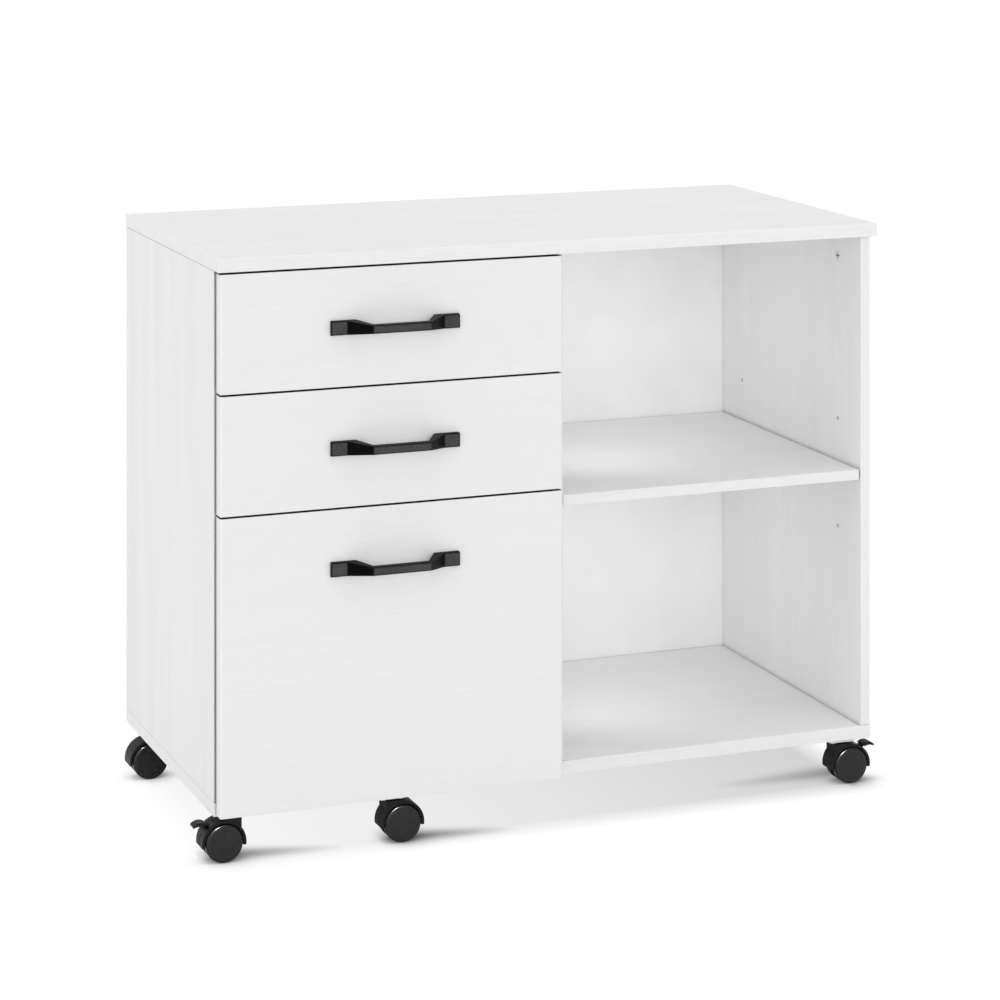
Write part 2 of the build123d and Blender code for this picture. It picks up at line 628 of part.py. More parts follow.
def make_brake_lever(name, x, y, heading):
    """Foot lever: a hub that turns on stub pins in the hood, a short arm and a humped paddle."""
    side = caster_frame(x, y, heading)
    px, pz = LEVER_PIVOT
    arm = [(1.0, -2.5), (5.2, 2.2), (2.6, 4.8), (-2.5, 1.5)]
    with BuildPart() as lever:
        with BuildSketch(side):
            with Locations(LEVER_PIVOT):
                Circle(LEVER_HUB)
            with BuildLine():
                Polyline(*[(px + dx, pz + dz) for dx, dz in arm], close=True)
            make_face()
        extrude(amount=WEB_HALF, both=True)
        with BuildSketch(side):
            with BuildLine():
                ThreePointArc((px + 1.0, pz + 4.4), (px + 8.2, pz + 7.0), (px + 17.0, pz + 3.2))
                Line((px + 17.0, pz + 3.2), (px + 16.2, pz + 1.4))
                ThreePointArc((px + 16.2, pz + 1.4), (px + 10.2, pz + 3.0), (px + 4.8, pz + 1.6))
                Line((px + 4.8, pz + 1.6), (px + 1.0, pz + 4.4))
            make_face()
        extrude(amount=LEVER_HALF_WIDTH, both=True)
        with BuildSketch(side):
            with Locations(LEVER_PIVOT):
                Circle(LEVER_PIN / 2)
        extrude(amount=LEVER_PIN_HALF, both=True)
    save(lever, f"{name}_brake_lever")


def main():
    os.makedirs("parts", exist_ok=True)
    make_top_board()
    make_bottom_board()
    make_upright("left_side_panel", LEFT, OPENING_LEFT, OPENING_LEFT)
    make_upright("divider_panel", DIVIDER_LEFT, BAY_LEFT, DIVIDER_LEFT, BAY_LEFT)
    make_upright("right_side_panel", BAY_RIGHT, RIGHT, BAY_RIGHT, BAY_RIGHT)
    make_back_panel()
    make_back_panel_nails()
    make_shelf()
    make_shelf_pins()
    make_cam_locks()
    make_cam_bolts()
    make_base_screws()
    for name, (low, high, box_low, box_height) in DRAWERS.items():
        make_drawer_front(name, low, high)
        make_drawer_box(name, box_low, box_height)
        height = slide_z(box_low, box_height)
        make_rails(f"{name}_middle_rails", [height], 3.4, 10.8, 18.0)
        make_rails(f"{name}_inner_rails", [height], SLIDE_THICKNESS, 6.6, 13.5)
        make_handle(name, high)
        make_handle_screws(name, high)
    all_heights = [slide_z(box_low, box_height) for *_, box_low, box_height in DRAWERS.values()]
    make_rails("slide_outer_rails", all_heights, 0.0, 10.2, 22.5)
    file_low, file_height = DRAWERS["file_drawer"][2:]
    make_file_rails(file_low, file_height)
    make_caster_block(file_low)
    make_caster_plates("corner_caster_plates", CORNER_SPOTS)
    make_caster_screws(
        "corner_caster_screws", [spot for c in CORNER_SPOTS for spot in square(*c, PLATE_HOLE_SPACING)]
    )
    make_caster_plates("fifth_caster_plate", [FIFTH_SPOT])
    make_caster_screws(
        "fifth_caster_screws",
        [spot for spot in square(*FIFTH_SPOT, PLATE_HOLE_SPACING) if spot[1] > FRONT_BACK],
    )
    for name, (x, y, heading, braked) in CASTERS.items():
        make_hood(name, x, y, heading, braked)
        make_axle(name, x, y, heading)
        make_wheels(name, x, y, heading)
        if braked:
            make_brake_lever(name, x, y, heading)


main()
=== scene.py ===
"""Looks of the rolling cabinet: procedural materials, small Blender-made details, soft light and the camera.

Everything is in metres, in the part's own frame: +Z up, front towards -Y. Places come from the CAD nodes'
boxes.
"""

import math

import bmesh
import bpy
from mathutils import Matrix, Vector


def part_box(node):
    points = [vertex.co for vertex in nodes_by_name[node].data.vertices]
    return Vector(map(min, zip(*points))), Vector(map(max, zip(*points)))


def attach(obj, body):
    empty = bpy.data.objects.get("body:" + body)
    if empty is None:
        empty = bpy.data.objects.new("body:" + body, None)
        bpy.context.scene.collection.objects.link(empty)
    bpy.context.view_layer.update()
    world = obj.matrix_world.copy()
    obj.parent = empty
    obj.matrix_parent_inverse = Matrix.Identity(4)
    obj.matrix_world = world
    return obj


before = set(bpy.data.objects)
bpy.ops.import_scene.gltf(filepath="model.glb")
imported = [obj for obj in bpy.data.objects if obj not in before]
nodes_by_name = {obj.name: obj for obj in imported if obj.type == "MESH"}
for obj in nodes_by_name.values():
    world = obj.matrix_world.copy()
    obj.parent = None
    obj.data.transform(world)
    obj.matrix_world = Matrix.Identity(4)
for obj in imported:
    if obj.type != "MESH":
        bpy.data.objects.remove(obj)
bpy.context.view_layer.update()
scene = bpy.context.scene

DRAWERS = ("top_drawer", "middle_drawer", "file_drawer")
CASTERS = (
    "front_left_caster",
    "front_right_caster",
    "rear_left_caster",
    "rear_right_caster",
    "fifth_caster",
)

TOP_LOW, TOP_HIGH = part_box("top_board")
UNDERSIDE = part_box("bottom_board")[0].z
HOME_CORNER = Vector((TOP_LOW.x, TOP_LOW.y, UNDERSIDE))  # front left corner, level with the body's underside
TO_FRONT = (0.0, -1.0, 0.0)


# ---------------------------------------------------------------- node helpers

EDGE_SAMPLES = 3
EDGE_STARTS_AT = 0.995  # cosine between the rounded and the true normal where an edge mask begins


class Shader:
    """A material being wired up: short calls for the few node kinds used here."""

    def __init__(self, name):
        self.material = bpy.data.materials.new(name)
        self.material.use_nodes = True
        self.tree = self.material.node_tree
        self.surface = self.tree.nodes["Principled BSDF"]
        self.coords = self.tree.nodes.new("ShaderNodeTexCoord")

    def wire(self, source, target):
        self.tree.links.new(source, target)

    def stretched(self, scale):
        """Object coordinates scaled per axis, so a texture's features become long along the small scales."""
        node = self.tree.nodes.new("ShaderNodeMapping")
        node.inputs["Scale"].default_value = scale
        self.wire(self.coords.outputs["Object"], node.inputs["Vector"])
        return node.outputs["Vector"]

    def noise(self, vector, detail=4.0, roughness=0.55, distortion=0.0):
        """Cloudy noise between zero and one, as large as the vector's scale makes it."""
        node = self.tree.nodes.new("ShaderNodeTexNoise")
        node.inputs["Scale"].default_value = 1.0
        node.inputs["Detail"].default_value = detail
        node.inputs["Roughness"].default_value = roughness
        node.inputs["Distortion"].default_value = distortion
        self.wire(vector, node.inputs["Vector"])
        return node.outputs["Fac"]

    def span(self, value, low, high, to_low=0.0, to_high=1.0):
        """Maps value from low..high onto to_low..to_high, clamped."""
        node = self.tree.nodes.new("ShaderNodeMapRange")
        node.inputs["From Min"].default_value = low
        node.inputs["From Max"].default_value = high
        node.inputs["To Min"].default_value = to_low
        node.inputs["To Max"].default_value = to_high
        self.wire(value, node.inputs["Value"])
        return node.outputs["Result"]

    def math(self, operation, first, second):
        """A sum, product or the like of two values, each a number or a socket."""
        node = self.tree.nodes.new("ShaderNodeMath")
        node.operation = operation
        for socket, value in zip(node.inputs, (first, second)):
            if isinstance(value, (int, float)):
                socket.default_value = value
            else:
                self.wire(value, socket)
        return node.outputs["Value"]

    def times(self, first, second):
        return self.math("MULTIPLY", first, second)

    def inverse(self, value):
        return self.math("SUBTRACT", 1.0, value)

    def mix(self, factor, first, second):
        """Colour between first and second, each a colour tuple or a socket. The factor is a socket."""
        node = self.tree.nodes.new("ShaderNodeMix")
        node.data_type = "RGBA"
        self.wire(factor, node.inputs["Factor"])
        colour_inputs = [socket for socket in node.inputs if socket.type == "RGBA"]
        for socket, value in zip(colour_inputs, (first, second)):
            if isinstance(value, tuple):
                socket.default_value = (*value, 1.0)
            else:
                self.wire(value, socket)
        return next(socket for socket in node.outputs if socket.type == "RGBA")

    def bump(self, height, depth, strength, below=None):
        """Bump of the given depth in metres, on top of another bump if one is given."""
        node = self.tree.nodes.new("ShaderNodeBump")
        node.inputs["Strength"].default_value = strength
        node.inputs["Distance"].default_value = depth
        self.wire(height, node.inputs["Height"])
        if below is not None:
            self.wire(below, node.inputs["Normal"])
        return node.outputs["Normal"]

    def edge_mask(self, radius, full_at=0.85):
        """One along sharp edges and corners, zero on flat faces.

        The mask is full where the rounded normal's cosine to the true one has dropped to full_at.
        """
        bevel = self.tree.nodes.new("ShaderNodeBevel")
        bevel.samples = EDGE_SAMPLES
        bevel.inputs["Radius"].default_value = radius
        geometry = self.tree.nodes.new("ShaderNodeNewGeometry")
        dot = self.tree.nodes.new("ShaderNodeVectorMath")
        dot.operation = "DOT_PRODUCT"
        self.wire(bevel.outputs["Normal"], dot.inputs[0])
        self.wire(geometry.outputs["Normal"], dot.inputs[1])
        return self.span(dot.outputs["Value"], EDGE_STARTS_AT, full_at)

    def openness(self, reach, samples=3, lean=None):
        """One in the open, low in gaps, inner corners and close to other things.

        It looks out from the surface, or towards lean when a direction is given.
        """
        node = self.tree.nodes.new("ShaderNodeAmbientOcclusion")
        node.samples = samples
        node.inputs["Distance"].default_value = reach
        if lean is not None:
            direction = self.tree.nodes.new("ShaderNodeCombineXYZ")
            for socket, value in zip(direction.inputs, Vector(lean).normalized()):
                socket.default_value = value
            self.wire(direction.outputs["Vector"], node.inputs["Normal"])
        return node.outputs["AO"]

    def place(self):
        """X and Y of the shaded point in the object's own axes."""
        node = self.tree.nodes.new("ShaderNodeSeparateXYZ")
        self.wire(self.coords.outputs["Object"], node.inputs["Vector"])
        return node.outputs["X"], node.outputs["Y"]

    def facing(self, direction, low, high):
        """One on faces that look along a direction in the object's own axes, zero on the others."""
        dot = self.tree.nodes.new("ShaderNodeVectorMath")
        dot.operation = "DOT_PRODUCT"
        dot.inputs[1].default_value = direction
        self.wire(self.coords.outputs["Normal"], dot.inputs[0])
        return self.span(dot.outputs["Value"], low, high)

    def finish(self, color, roughness, normal=None, metallic=0.0, specular=0.5):
        """Sets the surface's values, each a number, a colour or a socket, and returns the material."""
        for name, value in (
            ("Base Color", color),
            ("Roughness", roughness),
            ("Metallic", metallic),
            ("Specular IOR Level", specular),
        ):
            socket = self.surface.inputs[name]
            if isinstance(value, tuple):
                socket.default_value = (*value, 1.0)
            elif isinstance(value, (int, float)):
                socket.default_value = value
            else:
                self.wire(value, socket)
        if normal is not None:
            self.wire(normal, self.surface.inputs["Normal"])
        return self.material


def along(axis, long_scale, fine_scale):
    """Per-axis scales of a texture whose streaks run along one axis (0, 1 or 2)."""
    return tuple(long_scale if k == axis else fine_scale for k in range(3))


# ---------------------------------------------------------------- materials

CREVICE_REACH = 0.006  # painted shade darkens gaps narrower than about this
WHITE = (0.93, 0.93, 0.929)  # laminate and fibreboard, palest
GRAIN_WHITE = (0.885, 0.885, 0.884)  # laminate, deepest in its grain
SIDE_GRAIN_WHITE = (0.86, 0.86, 0.859)
FRONT_WHITE = (0.905, 0.905, 0.904)
PORE = (0.76, 0.76, 0.76)
WORN_EDGE = (0.98, 0.98, 0.979)
# painted shade, for narrow gaps and inner corners
PAINTED_GAP_SHADE = (0.012, 0.012, 0.013)
# painted shade: the black of shaded faces, edges and gaps on black parts
PAINTED_SHADE_BLACK = (0.001, 0.001, 0.001)
BOX_PALE = (0.84, 0.84, 0.835)
BOX_DEEP = (0.80, 0.80, 0.795)


def laminate(name, grain_axis, pale=WHITE, deep=GRAIN_WHITE, crevice=0.2, plain_face=False):
    """White laminate with a faint woodgrain pressed into it, streaks along one axis, and painted gap shade.

    Painted shade darkens narrow gaps and inner corners, by the share given as crevice. With plain_face, the
    face that looks to the front gets none of this painted shade next to whatever is fixed on it.
    """
    s = Shader(name)
    broad = s.noise(s.stretched(along(grain_axis, 1.6, 26.0)), detail=5.0, distortion=0.6)
    fine = s.noise(s.stretched(along(grain_axis, 9.0, 420.0)), detail=3.0, roughness=0.6)
    pores = s.span(s.noise(s.stretched(along(grain_axis, 24.0, 1100.0)), detail=2.0), 0.60, 0.72)
    grain = s.math("ADD", s.times(broad, 0.55), s.times(fine, 0.45))
    colour = s.mix(s.span(grain, 0.36, 0.66), deep, pale)
    colour = s.mix(s.times(pores, 0.40), colour, PORE)
    colour = s.mix(s.times(s.edge_mask(0.0009), 0.45), colour, WORN_EDGE)
    # Painted shade: narrow gaps and inner corners are darkened, as shade would fall there.
    gap_shade = s.span(s.openness(CREVICE_REACH), 0.92, 0.50)
    if plain_face:
        gap_shade = s.times(gap_shade, s.facing(TO_FRONT, 0.95, 0.7))
    colour = s.mix(s.times(gap_shade, crevice), colour, PAINTED_GAP_SHADE)
    roughness = s.span(fine, 0.3, 0.7, 0.40, 0.56)
    normal = s.bump(grain, 0.00025, 0.35)
    normal = s.bump(s.inverse(pores), 0.00006, 0.5, normal)
    return s.finish(colour, roughness, normal, specular=0.42)


def fibreboard(name):
    """Thin board with a smooth white face: faint mottling and a fibrous bump."""
    s = Shader(name)
    cloud = s.noise(s.stretched((18.0, 18.0, 18.0)), detail=5.0)
    fibres = s.noise(s.stretched((260.0, 260.0, 700.0)), detail=3.0, distortion=0.8)
    colour = s.mix(s.span(cloud, 0.35, 0.65), (0.90, 0.90, 0.899), WHITE)
    colour = s.mix(s.times(s.edge_mask(0.0008), 0.4), colour, (0.72, 0.70, 0.66))
    roughness = s.span(cloud, 0.3, 0.7, 0.50, 0.62)
    return s.finish(colour, roughness, s.bump(fibres, 0.00008, 0.35), specular=0.35)


def satin_black(name):
    """Powder-coated metal with a fine orange peel; painted light on faces to the front, painted shade on the
    rest.
    """
    s = Shader(name)
    peel = s.noise(s.stretched((900.0, 900.0, 900.0)), detail=3.0)
    cloud = s.noise(s.stretched((30.0, 30.0, 30.0)), detail=4.0)
    # Painted light and shade: faces that look to the front get a lighter grey and a sheen; the other faces
    # and a thin outline along the edges are painted near black, as shade.
    outward = s.facing(TO_FRONT, 0.90, 0.985)
    shaded_black = s.mix(s.span(cloud, 0.35, 0.65), PAINTED_SHADE_BLACK, (0.003, 0.003, 0.003))
    light = s.mix(s.span(cloud, 0.35, 0.65), (0.036, 0.036, 0.037), (0.050, 0.050, 0.051))
    lit_face = s.times(outward, s.inverse(s.edge_mask(0.0024, 0.96)))
    colour = s.mix(lit_face, shaded_black, light)
    roughness = s.span(peel, 0.3, 0.7, 0.22, 0.34)
    specular = s.span(lit_face, 0.0, 1.0, 0.05, 0.42)
    return s.finish(colour, roughness, s.bump(peel, 0.00004, 0.4), specular=specular)


def moulded_black(name, base, worn, rough_range, texture_scale, specular, gap_depth):
    """Moulded black plastic: fine spark texture, soft sheen, paler edges; painted shade darkens gaps by
    gap_depth.
    """
    s = Shader(name)
    spark = s.noise(s.stretched((texture_scale,) * 3), detail=4.0, roughness=0.65)
    cloud = s.noise(s.stretched((45.0, 45.0, 45.0)), detail=3.0)
    colour = s.mix(s.span(cloud, 0.3, 0.7), base, tuple(1.5 * c for c in base))
    colour = s.mix(s.times(s.edge_mask(0.0008), 0.5), colour, worn)
    # Painted shade: gaps and inner corners turn black and lose their sheen, as shade would fall there.
    gap_shade = s.span(s.openness(CREVICE_REACH), 0.85, 0.45, 0.0, gap_depth)
    colour = s.mix(gap_shade, colour, PAINTED_SHADE_BLACK)
    roughness = s.span(spark, 0.3, 0.7, *rough_range)
    sheen = s.span(gap_shade, 0.0, 1.0, specular, 0.0)
    return s.finish(colour, roughness, s.bump(spark, 0.00005, 0.4), specular=sheen)


def zinc(name):
    """Zinc-plated steel: bright, lightly brushed and clouded."""
    s = Shader(name)
    brushed = s.noise(s.stretched((700.0, 40.0, 700.0)), detail=3.0)
    cloud = s.noise(s.stretched((60.0, 60.0, 60.0)), detail=5.0)
    colour = s.mix(s.span(cloud, 0.35, 0.65), (0.63, 0.64, 0.66), (0.71, 0.72, 0.74))
    roughness = s.span(brushed, 0.3, 0.7, 0.24, 0.40)
    return s.finish(colour, roughness, s.bump(brushed, 0.00003, 0.4), metallic=1.0)


def cam_casting(name):
    """Bright die-cast cam with a soft matt face; painted shade darkens its cross recess."""
    s = Shader(name)
    grainy = s.noise(s.stretched((500.0, 500.0, 500.0)), detail=3.0)
    colour = s.mix(s.span(grainy, 0.35, 0.65), (0.86, 0.86, 0.87), (0.95, 0.95, 0.96))
    # Painted shade in the cross recess.
    recess_shade = s.span(s.openness(0.004), 0.75, 0.45)
    colour = s.mix(recess_shade, colour, (0.01, 0.01, 0.011))
    roughness = s.span(grainy, 0.3, 0.7, 0.42, 0.55)
    return s.finish(colour, roughness, s.bump(grainy, 0.00004, 0.4), metallic=0.15, specular=0.6)


def pale_plastic(name):
    """Off-white moulded plastic with a faint haze."""
    s = Shader(name)
    spark = s.noise(s.stretched((800.0, 800.0, 800.0)), detail=3.0)
    cloud = s.noise(s.stretched((25.0, 25.0, 25.0)), detail=3.0)
    colour = s.mix(s.span(cloud, 0.3, 0.7), (0.70, 0.70, 0.69), (0.76, 0.76, 0.75))
    roughness = s.span(spark, 0.3, 0.7, 0.34, 0.46)
    return s.finish(colour, roughness, s.bump(spark, 0.00004, 0.3))


def wear(material, *names):
    """Gives CAD nodes one material, in place of what the file brought."""
    for name in names:
        mesh = nodes_by_name[name].data
        mesh.materials.clear()
        mesh.materials.append(material)


def dress_cad_nodes():
    """Makes the materials and gives each CAD node its own."""
    grain_along_x = laminate("laminate_along_x", 0)
    grain_upright = laminate("laminate_upright", 2)
    outer_side = laminate("laminate_outer_side", 2, deep=SIDE_GRAIN_WHITE, crevice=1.0)
    top_grain = laminate("laminate_top", 0, crevice=1.0)
    base_grain = laminate("laminate_base", 0, crevice=0.4)
    front_grain = laminate("laminate_fronts", 0, pale=FRONT_WHITE, crevice=1.0, plain_face=True)
    hardboard = fibreboard("fibreboard")
    box_board = laminate("drawer_box_foil", 1, pale=BOX_PALE, deep=BOX_DEEP)
    handle_black = satin_black("handle_black")
    steel = zinc("zinc_steel")
    hood_black = moulded_black(
        "hood_nylon",
        base=(0.006, 0.006, 0.006),
        worn=(0.035, 0.035, 0.036),
        rough_range=(0.34, 0.50),
        texture_scale=900.0,
        specular=0.23,
        gap_depth=0.95,
    )
    wheel_black = moulded_black(
        "wheel_plastic",
        base=(0.009, 0.009, 0.009),
        worn=(0.09, 0.09, 0.093),
        rough_range=(0.19, 0.29),
        texture_scale=600.0,
        specular=0.40,
        gap_depth=0.15,
    )
    plastic = pale_plastic("folder_rail_plastic")

    wear(top_grain, "top_board")
    wear(base_grain, "bottom_board")
    wear(grain_along_x, "shelf", "fifth_caster_block")
    wear(outer_side, "left_side_panel")
    wear(grain_upright, "right_side_panel", "divider_panel")
    wear(hardboard, "back_panel", *[f"{d}_bottom" for d in DRAWERS])
    wear(front_grain, *[f"{d}_front" for d in DRAWERS])
    wear(box_board, *[f"{d}_box_sides" for d in DRAWERS], *[f"{d}_box_back" for d in DRAWERS])
    wear(handle_black, *[f"{d}_handle" for d in DRAWERS])
    wear(plastic, "file_drawer_folder_rails")
    wear(cam_casting("cam_casting"), "cam_locks")
    wear(hood_black, *[f"{c}_hood" for c in CASTERS])
    wear(hood_black, "front_left_caster_brake_lever", "front_right_caster_brake_lever")
    wear(wheel_black, *[f"{c}_wheels" for c in CASTERS])
    steel_nodes = [
        "back_panel_nails", "shelf_pins", "cam_bolts", "base_screws", "slide_outer_rails",
        "corner_caster_plates", "corner_caster_screws", "fifth_caster_plate", "fifth_caster_screws",
    ]
    drawer_steel = ("middle_rails", "inner_rails", "handle_screws")
    steel_nodes += [f"{drawer}_{part}" for drawer in DRAWERS for part in drawer_steel]
    steel_nodes += [f"{c}_axle" for c in CASTERS]
    wear(steel, *steel_nodes)


# ---------------------------------------------------------------- balls and cages of the slides

BALL = 0.0031  # diameter
BALL_SIDES = 10  # points round a ball, and rings of them between its poles
BALL_RINGS = 5
BALL_PITCH = 0.016
BALLS_PER_ROW = 9
CAGE_METAL = 0.0005
CAGE_WIDTH = 0.0046
CAGE_BEYOND = 0.006  # strip beyond its last ball
ROW_FROM_END = 0.014  # first ball of a row, from the middle rail's end
# A row of balls seen from the slide's end: its distance above or below the rail's middle, and from the wall
# side of the rail's web. The outer rows run in the outer rail, the inner rows in the inner rail.
OUTER_ROW = (0.01965, 0.0040)
INNER_ROW = (0.01515, 0.0052)


def add_ball(shape, centre):
    """A small ball: rings of points round the vertical axis, closed at both poles."""
    rings = []
    for k in range(1, BALL_RINGS + 1):
        tilt = math.pi * k / (BALL_RINGS + 1)
        radius = BALL / 2 * math.sin(tilt)
        lift = BALL / 2 * math.cos(tilt)
        turns = [math.tau * j / BALL_SIDES for j in range(BALL_SIDES)]
        points = [centre + Vector((radius * math.cos(a), radius * math.sin(a), lift)) for a in turns]
        rings.append([shape.verts.new(point) for point in points])
    top_pole, low_pole = [shape.verts.new(centre + Vector((0, 0, side * BALL / 2))) for side in (1, -1)]
    for j in range(BALL_SIDES):
        following = (j + 1) % BALL_SIDES
        shape.faces.new((top_pole, rings[0][j], rings[0][following]))
        shape.faces.new((low_pole, rings[-1][following], rings[-1][j]))
        for upper, lower in zip(rings, rings[1:]):
            shape.faces.new((upper[j], lower[j], lower[following], upper[following]))


def add_strip(shape, low, high):
    """A flat strip: a plain box between two corners."""
    middle = (low + high) / 2
    size = high - low
    made = bmesh.ops.create_cube(shape, size=1.0)
    for vert in made["verts"]:
        vert.co = middle + vert.co * size


def link_piece(name, shape, material, body):
    """Turns a finished bmesh into an object of the scene that rides on a body."""
    bmesh.ops.recalc_face_normals(shape, faces=shape.faces)
    mesh = bpy.data.meshes.new(name)
    shape.to_mesh(mesh)
    shape.free()
    mesh.materials.append(material)
    piece = bpy.data.objects.new(name, mesh)
    scene.collection.objects.link(piece)
    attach(piece, body)


def make_ball_cages(steel):
    """Rows of balls in their strips, between each drawer's middle rails and the rails they run in."""
    for drawer in DRAWERS:
        low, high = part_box(f"{drawer}_middle_rails")
        middle_z = (low.z + high.z) / 2
        row_length = BALL_PITCH * (BALLS_PER_ROW - 1)
        outer_start = high.y - ROW_FROM_END - row_length
        inner_start = low.y + ROW_FROM_END
        balls, strips = bmesh.new(), bmesh.new()
        for wall_x, inward in ((low.x, 1), (high.x, -1)):
            for (lift, depth), start in ((OUTER_ROW, outer_start), (INNER_ROW, inner_start)):
                for side in (-1, 1):
                    x, z = wall_x + inward * depth, middle_z + side * lift
                    for k in range(BALLS_PER_ROW):
                        add_ball(balls, Vector((x, start + k * BALL_PITCH, z)))
                    row_low = Vector((x, start, z))
                    row_high = Vector((x, start + row_length, z))
                    margin = Vector((CAGE_WIDTH / 2, CAGE_BEYOND, CAGE_METAL / 2))
                    add_strip(strips, row_low - margin, row_high + margin)
        for kind, shape in (("balls", balls), ("ball_cages", strips)):
            link_piece(f"{drawer}_{kind}", shape, steel, f"{drawer}_slide_middle")


# ---------------------------------------------------------------- light, floor and camera

FLOOR_HALF = 14.0
FLOOR_DROP = 0.0002
FLOOR_WHITES = ((0.86, 0.86, 0.86), (0.88, 0.88, 0.88))
BLACK = (0.0, 0.0, 0.0)
PURE_WHITE = (1.0, 1.0, 1.0)
CONTACT_REACH = 0.05  # only the casters are this close to the floor
CONTACT_LEAN = (-0.2, -0.1, 1.0)
CONTACT_DARKEST = 0.20  # share of the floor's white left where things touch it
SHADE_LEFT = 0.07  # how much darker the floor is under the body, at its lit end and at its far end
SHADE_RIGHT = 0.36
SHADE_SPILL = 0.015  # the shade starts this far outside the footprint and is full this far inside
SHADE_SOFT = 0.03
STREAK_WIDTH = 0.023
STREAK_TIP = 0.4  # width of a streak at its tip, as a share of its width at the wheels
STREAK_START = 1 / 6  # a streak fades in over this share of its length, on the wheels' other side
STREAK_TURN = 0.16  # how far a streak turns towards the front, for each metre it reaches to the right
# A caster's wheels, how far the streak reaches (left when negative), its depth, and how far back it starts
STREAKS = (
    ("front_left_caster_wheels", 0.14, 0.85, 0.015),
    ("fifth_caster_wheels", 0.14, 0.90, 0.008),
    ("front_right_caster_wheels", -0.16, 0.55, 0.034),
    ("front_right_caster_wheels", 0.05, 0.65, 0.004),
    ("rear_left_caster_wheels", 0.05, 0.40, 0.004),
)
SKY = 0.64
SUNS = (  # name, where the light comes from, strength, spread in degrees
    ("front", (-0.25, -0.92, 0.14), 0.69, 34.0),
    ("left", (-1.0, -0.05, 0.12), 0.455, 30.0),
    ("top", (0.0, -0.05, 1.0), 0.80, 40.0),
)
GLINT = ("glint", (-0.14, -0.83, 0.52), 9.0, 14.0)  # gives the wheels' rims their bright arcs
BAY_NODES = ("right_side_panel", "back_panel", "shelf", "bottom_board", "top_board")
BAY_LAMP = 0.180  # watts
BAY_LAMP_AIM = (0.35, 0.85, -0.35)
BAY_LAMP_SIZE = (0.6, 0.4)  # lamp's height and depth, as shares of the compartment's
BAY_LAMP_PLACE = (0.3, 0.62)  # lamp's middle, as shares of the compartment's depth and height
BAY_LAMP_FROM_DIVIDER = 0.08


def body_shade(shader):
    """Shade of the cabinet's body on the floor: its footprint with soft edges, deeper towards the right."""
    x, y = shader.place()
    depth = shader.span(x, TOP_LOW.x, TOP_HIGH.x, SHADE_LEFT, SHADE_RIGHT)
    sides = ((x, TOP_LOW.x, 1), (x, TOP_HIGH.x, -1), (y, TOP_LOW.y, 1), (y, TOP_HIGH.y, -1))
    for value, edge, inward in sides:
        soft = shader.span(value, edge - inward * SHADE_SPILL, edge + inward * SHADE_SOFT)
        depth = shader.times(depth, soft)
    return depth


def wheel_streak(shader, wheels, length, depth, back):
    """Shade drawn out over the floor from a caster's wheels: full at them, thin and faint at its tip."""
    low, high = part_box(wheels)
    foot = (low + high) / 2
    tip_x = foot.x + length
    x, y = shader.place()
    reached = shader.span(x, foot.x, tip_x)
    started = shader.span(x, foot.x - STREAK_START * length, foot.x)
    fade = shader.times(started, shader.inverse(reached))
    middle_y = foot.y + back
    tip_y = middle_y - STREAK_TURN * max(length, 0.0)
    middle = shader.span(x, foot.x, tip_x, middle_y, tip_y)
    width = shader.span(reached, 0.0, 1.0, STREAK_WIDTH, STREAK_TIP * STREAK_WIDTH)
    ratio = shader.math("DIVIDE", shader.math("SUBTRACT", y, middle), width)
    across = shader.math("POWER", math.e, shader.times(shader.times(ratio, ratio), -1.0))
    return shader.times(shader.times(fade, across), depth)


def floor_material():
    """Matt white floor. The camera sees it as the white of a studio sweep with soft contact shadows."""
    s = Shader("floor")
    cloud = s.noise(s.stretched((0.8, 0.8, 0.8)), detail=2.0)
    s.finish(s.mix(cloud, *FLOOR_WHITES), 0.9, specular=0.1)
    contact = s.openness(CONTACT_REACH, samples=6, lean=CONTACT_LEAN)
    open_floor = s.times(s.span(contact, 0.15, 0.80, CONTACT_DARKEST, 1.0), s.inverse(body_shade(s)))
    for streak in STREAKS:
        open_floor = s.times(open_floor, s.inverse(wheel_streak(s, *streak)))
    white = s.tree.nodes.new("ShaderNodeEmission")
    s.wire(s.mix(open_floor, BLACK, PURE_WHITE), white.inputs["Color"])
    seen = s.tree.nodes.new("ShaderNodeLightPath")
    choice = s.tree.nodes.new("ShaderNodeMixShader")
    s.wire(seen.outputs["Is Camera Ray"], choice.inputs["Fac"])
    s.wire(s.surface.outputs["BSDF"], choice.inputs[1])
    s.wire(white.outputs["Emission"], choice.inputs[2])
    s.wire(choice.outputs["Shader"], s.tree.nodes["Material Output"].inputs["Surface"])
    return s.material


def make_floor():
    """A wide floor just under the wheels. It is staging, not part of the model."""
    mesh = bpy.data.meshes.new("floor")
    shape = bmesh.new()
    bmesh.ops.create_grid(shape, x_segments=1, y_segments=1, size=FLOOR_HALF)
    shape.to_mesh(mesh)
    shape.free()
    floor = bpy.data.objects.new("floor", mesh)
    scene.collection.objects.link(floor)
    floor.location.z = -FLOOR_DROP
    mesh.materials.append(floor_material())


def make_world():
    """A white room: plain white to the camera, an even soft light to everything else."""
    world = bpy.data.worlds.new("studio")
    scene.world = world
    world.use_nodes = True
    tree = world.node_tree
    background = tree.nodes["Background"]
    background.inputs["Color"].default_value = (*PURE_WHITE, 1.0)
    seen = tree.nodes.new("ShaderNodeLightPath")
    strength = tree.nodes.new("ShaderNodeMapRange")
    strength.inputs["To Min"].default_value = SKY
    strength.inputs["To Max"].default_value = 1.0
    tree.links.new(seen.outputs["Is Camera Ray"], strength.inputs["Value"])
    tree.links.new(strength.outputs["Result"], background.inputs["Strength"])


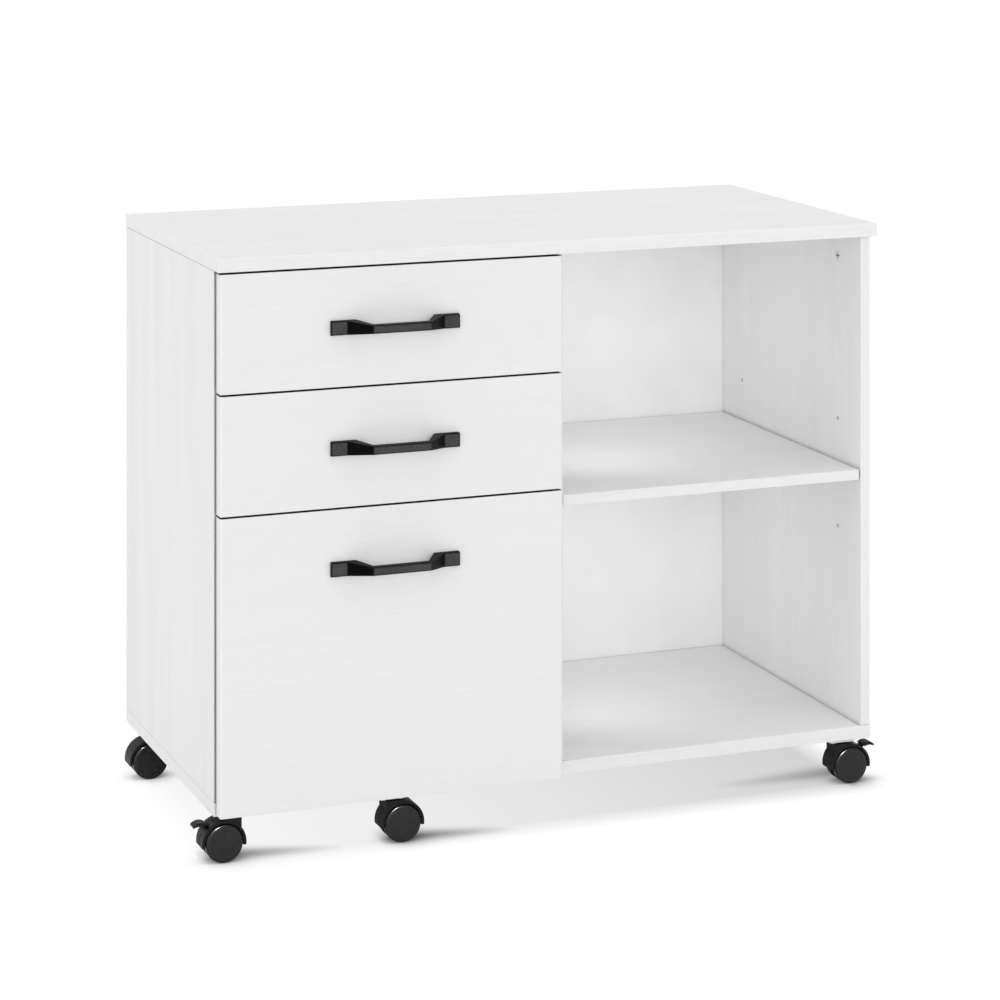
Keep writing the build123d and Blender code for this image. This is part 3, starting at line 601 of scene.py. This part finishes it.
def soft_sun(name, comes_from, strength, spread):
    """Distant light from a direction, softened over an angle in degrees. Returns its object."""
    data = bpy.data.lights.new(name, "SUN")
    data.energy = strength
    data.angle = math.radians(spread)
    light = bpy.data.objects.new(name, data)
    scene.collection.objects.link(light)
    light.rotation_euler = Vector(comes_from).to_track_quat("Z", "Y").to_euler()
    return light


def lit_group(name, nodes):
    """The CAD nodes that a light is kept to."""
    group = bpy.data.collections.new(name)
    for node in nodes:
        group.objects.link(bpy.data.objects[node])
    return group


def bay_lamp(name, low, high, receivers):
    """Weak light in one compartment, beside the divider and turned towards the back. It is never seen."""
    size = high - low
    data = bpy.data.lights.new(name, "AREA")
    data.shape = "RECTANGLE"
    data.size = BAY_LAMP_SIZE[0] * size.z
    data.size_y = BAY_LAMP_SIZE[1] * size.y
    data.energy = BAY_LAMP
    lamp = bpy.data.objects.new(name, data)
    scene.collection.objects.link(lamp)
    back, up = BAY_LAMP_PLACE
    lamp.location = low + Vector((BAY_LAMP_FROM_DIVIDER, back * size.y, up * size.z))
    lamp.rotation_euler = Vector(BAY_LAMP_AIM).to_track_quat("-Z", "Y").to_euler()
    lamp.visible_camera = False
    lamp.visible_glossy = False
    lamp.light_linking.receiver_collection = receivers


def make_lights():
    """Soft light from the front, the left and above, a glint on the wheels and a lamp in each bay."""
    for sun in SUNS:
        soft_sun(*sun)
    glint = soft_sun(*GLINT)
    glint.visible_diffuse = False
    glint.light_linking.receiver_collection = lit_group("wheels", [f"{c}_wheels" for c in CASTERS])
    bay = lit_group("bay", BAY_NODES)
    shelf_low, shelf_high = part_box("shelf")
    floor_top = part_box("bottom_board")[1].z
    upper_low = Vector((*shelf_low.xy, shelf_high.z))
    upper_high = Vector((*shelf_high.xy, TOP_LOW.z))
    bay_lamp("upper_bay", upper_low, upper_high, bay)
    lower_low = Vector((*shelf_low.xy, floor_top))
    lower_high = Vector((*shelf_high.xy, shelf_low.z))
    bay_lamp("lower_bay", lower_low, lower_high, bay)


CAMERA_FROM_CORNER = Vector((-0.931, -3.243, 1.099))  # from the body's lower front left corner
CAMERA_YAW = 21.19  # degrees to the right of straight at the front
LENS = 112.1  # millimetres, like the sensor's width
SENSOR = 36.0
LENS_SHIFT = -0.6964  # the lens looks down by shifting, so upright edges stay upright


def make_camera():
    """Level camera at the front left, shifted down to frame the cabinet."""
    data = bpy.data.cameras.new("camera")
    data.lens = LENS
    data.sensor_width = SENSOR
    camera = bpy.data.objects.new("camera", data)
    scene.collection.objects.link(camera)
    camera.location = HOME_CORNER + CAMERA_FROM_CORNER
    camera.rotation_euler = (math.radians(90), 0.0, -math.radians(CAMERA_YAW))
    scene.camera = camera
    # The shift belongs to this viewpoint only: it goes to zero when the camera is moved round the object.
    driver = data.driver_add("shift_y").driver
    driver.type = "SCRIPTED"
    place = driver.variables.new()
    place.name = "x"
    place.type = "TRANSFORMS"
    place.targets[0].id = camera
    place.targets[0].transform_type = "LOC_X"
    driver.expression = f"{LENS_SHIFT} if abs(x - {camera.location.x:.6f}) < 0.001 else 0.0"


dress_cad_nodes()
make_ball_cages(zinc("ball_steel"))
make_floor()
make_world()
make_lights()
make_camera()
scene.view_settings.view_transform = "Standard"
